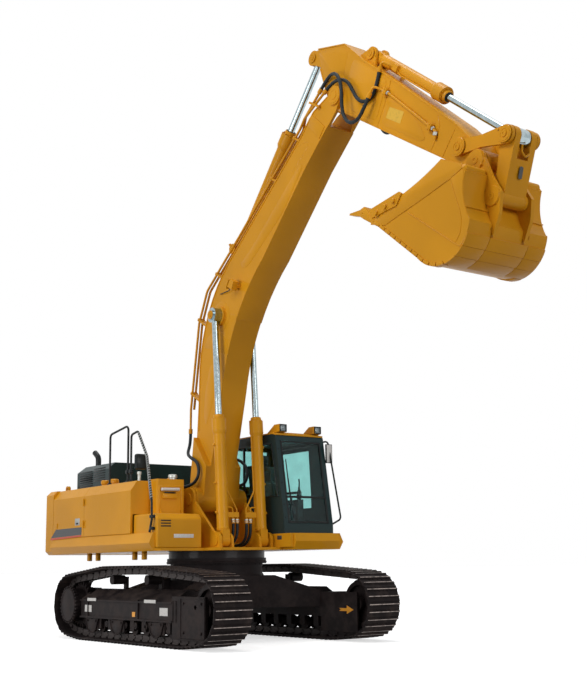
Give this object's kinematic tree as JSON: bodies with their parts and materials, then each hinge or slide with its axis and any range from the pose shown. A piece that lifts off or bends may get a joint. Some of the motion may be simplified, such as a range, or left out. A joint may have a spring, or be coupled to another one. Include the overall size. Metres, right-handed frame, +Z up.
{
  "type": "crawler excavator",
  "caption": "Crawler excavator standing with its boom raised and bucket curled: tracks, slewing house and cab, boom, arm, bucket, cylinders, doors.",
  "frame": {"origin": "on the ground, under the middle of the whole machine as it stands with its boom raised", "axes": "+X forward, towards the bucket; +Y to the left, the cab side; +Z up; slewing axis vertical at x = -1.626 m"},
  "size_m": [10.2114, 3.19, 8.5225],
  "materials": {
    "yellow_paint": "gloss enamel",
    "frame_black": "dusty satin",
    "track_steel": "worn, bright on the ribs",
    "chrome_rod": "polished",
    "dark_green": "satin",
    "tinted_glass": "tinted",
    "black_paint": "satin",
    "seat_cloth": "woven",
    "engine_grey": "matt",
    "hose_rubber": "matt"
  },
  "bodies": {
    "undercarriage": {"carbody": "frame_black", "final_drive_left": "frame_black", "final_drive_right": "frame_black", "idler_left": "frame_black", "idler_right": "frame_black", "rollers_left": "frame_black", "rollers_right": "frame_black", "sprocket_left": "frame_black", "sprocket_right": "frame_black", "swing_bearing": "frame_black", "track_frame_left": "frame_black", "track_frame_right": "frame_black", "track_left": "track_steel", "track_right": "track_steel"},
    "house": {"cab_glass": "tinted_glass", "cab_lamps": "yellow_paint", "cab_shell": "dark_green", "controls": "black_paint", "counterweight": "yellow_paint", "engine_block": "engine_grey", "fuel_tank": "yellow_paint", "handrails": "black_paint", "hose_cylinder_inner_left": "hose_rubber", "hose_cylinder_inner_right": "hose_rubber", "hose_cylinder_outer_left": "hose_rubber", "hose_cylinder_outer_right": "hose_rubber", "hose_foot_left": "hose_rubber", "hose_foot_right": "hose_rubber", "left_cover": "yellow_paint", "main_frame": "yellow_paint", "mirror_rail": "black_paint", "oil_tank": "engine_grey", "right_cover": "yellow_paint", "seat": "seat_cloth", "tool_box": "yellow_paint", "top_cover": "yellow_paint"},
    "boom": {"boom": "yellow_paint", "boom_pipes": "yellow_paint", "hose_arm_lower_left": "hose_rubber", "hose_arm_lower_right": "hose_rubber", "hose_arm_upper_left": "hose_rubber", "hose_arm_upper_right": "hose_rubber"},
    "arm": {"arm": "yellow_paint"},
    "rocker": {"rocker": "yellow_paint"},
    "bucket": {"bucket": "yellow_paint"},
    "bucket_link": {"bucket_link": "yellow_paint"},
    "arm_barrel": {"arm_cylinder_barrel": "yellow_paint"},
    "arm_rod": {"arm_cylinder_rod": "chrome_rod"},
    "bucket_barrel": {"bucket_cylinder_barrel": "yellow_paint"},
    "bucket_rod": {"bucket_cylinder_rod": "chrome_rod"},
    "cab_door": {"cab_door": "dark_green", "door_glass": "tinted_glass"},
    "pump_door": {"pump_door": "yellow_paint"},
    "radiator_door": {"radiator_door": "yellow_paint"},
    "engine_hood": {"engine_hood": "dark_green", "exhaust_pipe": "black_paint"},
    "boom_barrel_left": {"boom_cylinder_barrel_left": "yellow_paint"},
    "boom_rod_left": {"boom_cylinder_rod_left": "chrome_rod"},
    "boom_barrel_right": {"boom_cylinder_barrel_right": "yellow_paint"},
    "boom_rod_right": {"boom_cylinder_rod_right": "chrome_rod"}
  },
  "joints": [
    {"name": "slew", "type": "hinge", "parent": "undercarriage", "child": "house", "pos_m": [-1.626, 0, 1.225], "axis": [0, 0, 1], "continuous": true},
    {"name": "boom_lift", "type": "hinge", "parent": "house", "child": "boom", "pos_m": [-1.676, 0, 2.13], "axis": [0, -1, 0], "range_deg": [-88, 7], "deforming": ["hose_foot_left", "hose_foot_right"]},
    {"name": "arm_swing", "type": "hinge", "parent": "boom", "child": "arm", "pos_m": [1.86415, 0, 7.58136], "axis": [0, 1, 0], "range_deg": [-49, 52], "deforming": ["hose_arm_lower_left", "hose_arm_lower_right", "hose_arm_upper_left", "hose_arm_upper_right"]},
    {"name": "bucket_curl", "type": "hinge", "parent": "arm", "child": "bucket", "pos_m": [4.54609, 0, 5.77237], "axis": [0, -1, 0], "range_deg": [0, 150]},
    {"name": "boom_cylinder_left", "type": "hinge", "parent": "house", "child": "boom_barrel_left", "pos_m": [-0.896, 0.345, 1.48], "axis": [0, -1, 0], "range_deg": [-89.27, 8.02], "deforming": ["hose_cylinder_inner_left", "hose_cylinder_outer_left"]},
    {"name": "boom_rod_left", "type": "slide", "parent": "boom_barrel_left", "child": "boom_rod_left", "axis": [-0.0661, 0, 0.9978], "range_m": [-1.4206, 0.1222]},
    {"name": "boom_cylinder_right", "type": "hinge", "parent": "house", "child": "boom_barrel_right", "pos_m": [-0.896, -0.345, 1.48], "axis": [0, -1, 0], "range_deg": [-89.27, 8.02], "deforming": ["hose_cylinder_inner_right", "hose_cylinder_outer_right"]},
    {"name": "boom_rod_right", "type": "slide", "parent": "boom_barrel_right", "child": "boom_rod_right", "axis": [-0.0661, 0, 0.9978], "range_m": [-1.4206, 0.1222]},
    {"name": "arm_cylinder", "type": "hinge", "parent": "boom", "child": "arm_barrel", "pos_m": [-0.87632, 0, 6.02004], "axis": [0, -1, 0], "range_deg": [-4.52, 4.32]},
    {"name": "arm_rod", "type": "slide", "parent": "arm_barrel", "child": "arm_rod", "axis": [0.6652, 0, 0.7467], "range_m": [-0.7983, 0.8466]},
    {"name": "bucket_cylinder", "type": "hinge", "parent": "arm", "child": "bucket_barrel", "pos_m": [2.53386, 0, 7.97158], "axis": [0, -1, 0], "range_deg": [-1, 1.88]},
    {"name": "bucket_rod", "type": "slide", "parent": "bucket_barrel", "child": "bucket_rod", "axis": [0.7751, 0, -0.6319], "range_m": [-1.2691, 0.01]},
    {"name": "rocker_turn", "type": "hinge", "parent": "arm", "child": "rocker", "pos_m": [4.22504, 0, 6.05285], "axis": [0, -1, 0], "range_deg": [-1, 111.94]},
    {"name": "link_turn", "type": "hinge", "parent": "bucket", "child": "bucket_link", "pos_m": [4.78022, 0, 5.26826], "axis": [0, -1, 0], "range_deg": [-84.13, 1]},
    {"name": "cab_door_swing", "type": "hinge", "parent": "house", "child": "cab_door", "pos_m": [-1.956, 1.456, 2.3], "axis": [0, 0, 1], "range_deg": [0, 150]},
    {"name": "pump_door_swing", "type": "hinge", "parent": "house", "child": "pump_door", "pos_m": [-3.338, -1.466, 2], "axis": [0, 0, 1], "range_deg": [0, 90]},
    {"name": "radiator_door_swing", "type": "hinge", "parent": "house", "child": "radiator_door", "pos_m": [-3.338, 1.466, 2], "axis": [0, 0, -1], "range_deg": [0, 90]},
    {"name": "engine_hood_lift", "type": "hinge", "parent": "house", "child": "engine_hood", "pos_m": [-3.464, 0, 2.432], "axis": [0, 1, 0], "range_deg": [0, 60]}
  ],
  "couplings": [
    {"joint": "boom_cylinder_left", "follows": "boom_lift", "ratio": 1.0031},
    {"joint": "boom_rod_left", "follows": "boom_lift", "m_per_rad": 0.9184},
    {"joint": "boom_cylinder_right", "follows": "boom_lift", "ratio": 1.0031},
    {"joint": "boom_rod_right", "follows": "boom_lift", "m_per_rad": 0.9184},
    {"joint": "arm_cylinder", "follows": "arm_swing", "ratio": -0.06778},
    {"joint": "arm_rod", "follows": "arm_swing", "m_per_rad": 0.92178},
    {"joint": "bucket_cylinder", "follows": "bucket_curl", "ratio": 0.00589},
    {"joint": "bucket_rod", "follows": "bucket_curl", "m_per_rad": -0.48095},
    {"joint": "rocker_turn", "follows": "bucket_curl", "ratio": 0.7396},
    {"joint": "link_turn", "follows": "bucket_curl", "ratio": -0.5542}
  ]
}
